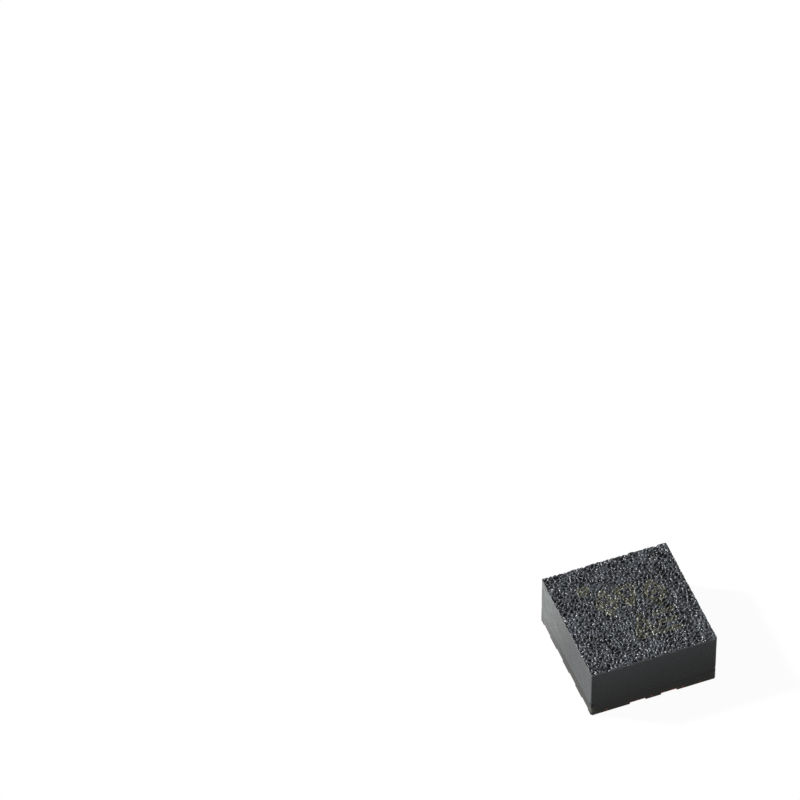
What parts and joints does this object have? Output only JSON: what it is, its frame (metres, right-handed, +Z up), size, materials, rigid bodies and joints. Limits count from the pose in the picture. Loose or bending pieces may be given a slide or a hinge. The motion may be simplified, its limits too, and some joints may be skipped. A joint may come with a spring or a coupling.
{
  "type": "accelerometer chip",
  "caption": "Square land-grid accelerometer package with a wrinkled moulded top, sawn sides and solder lands; capped comb-type sensor and read-out die inside.",
  "frame": {"origin": "centre of the square footprint, on the face of the lower solder coat", "axes": "+Z up out of the moulded top, +Y towards the edge behind the marked corner, which lies at -X +Y"},
  "size_m": [0.002, 0.002, 0.0009],
  "materials": {
    "moulded_epoxy": "moulded epoxy compound, wrinkled on top and sawn smooth on the sides",
    "glass_epoxy_board": "sawn glass-epoxy laminate",
    "solder_coat": "cured solder coat, satin",
    "plated_land": "electroplated gold over nickel and copper",
    "track_copper": "plated copper",
    "die_attach_film": "cured adhesive film",
    "circuit_silicon": "polished silicon with passivation",
    "cap_silicon": "ground silicon wafer back",
    "sensor_silicon": "polished silicon",
    "sprung_silicon": "etched polysilicon",
    "pad_aluminium": "sputtered aluminium",
    "glass_frit": "fired glass frit",
    "wire_gold": "drawn gold wire"
  },
  "bodies": {
    "root": {"mould_body": "moulded_epoxy", "laminate_core": "glass_epoxy_board", "solder_mask_top": "solder_coat", "solder_mask_bottom": "solder_coat", "land_1": "plated_land", "land_2": "plated_land", "land_3": "plated_land", "land_4": "plated_land", "land_5": "plated_land", "land_6": "plated_land", "land_7": "plated_land", "land_8": "plated_land", "land_9": "plated_land", "land_10": "plated_land", "land_11": "plated_land", "land_12": "plated_land", "trace_1": "track_copper", "trace_2": "track_copper", "trace_3": "track_copper", "trace_4": "track_copper", "trace_5": "track_copper", "trace_6": "track_copper", "trace_7": "track_copper", "trace_8": "track_copper", "trace_9": "track_copper", "trace_10": "track_copper", "trace_11": "track_copper", "trace_12": "track_copper", "ground_plane": "track_copper", "asic_attach_film": "die_attach_film", "asic_die": "circuit_silicon", "asic_pads": "pad_aluminium", "sensor_attach_film": "die_attach_film", "sensor_base": "sensor_silicon", "sensor_pads": "pad_aluminium", "seal_ring": "glass_frit", "sensor_cap": "cap_silicon", "xy_proof_mass": "sprung_silicon", "fixed_combs": "sprung_silicon", "z_proof_mass": "sprung_silicon", "z_electrodes": "pad_aluminium", "bond_wire_1": "wire_gold", "bond_wire_2": "wire_gold", "bond_wire_3": "wire_gold", "bond_wire_4": "wire_gold", "bond_wire_5": "wire_gold", "bond_wire_6": "wire_gold", "bond_wire_7": "wire_gold", "bond_wire_8": "wire_gold", "bond_wire_9": "wire_gold", "bond_wire_10": "wire_gold", "bond_wire_11": "wire_gold", "bond_wire_12": "wire_gold", "sensor_wire_1": "wire_gold", "sensor_wire_2": "wire_gold", "sensor_wire_3": "wire_gold", "sensor_wire_4": "wire_gold", "sensor_wire_5": "wire_gold", "sensor_wire_6": "wire_gold", "sensor_wire_7": "wire_gold"}
  },
  "joints": []
}
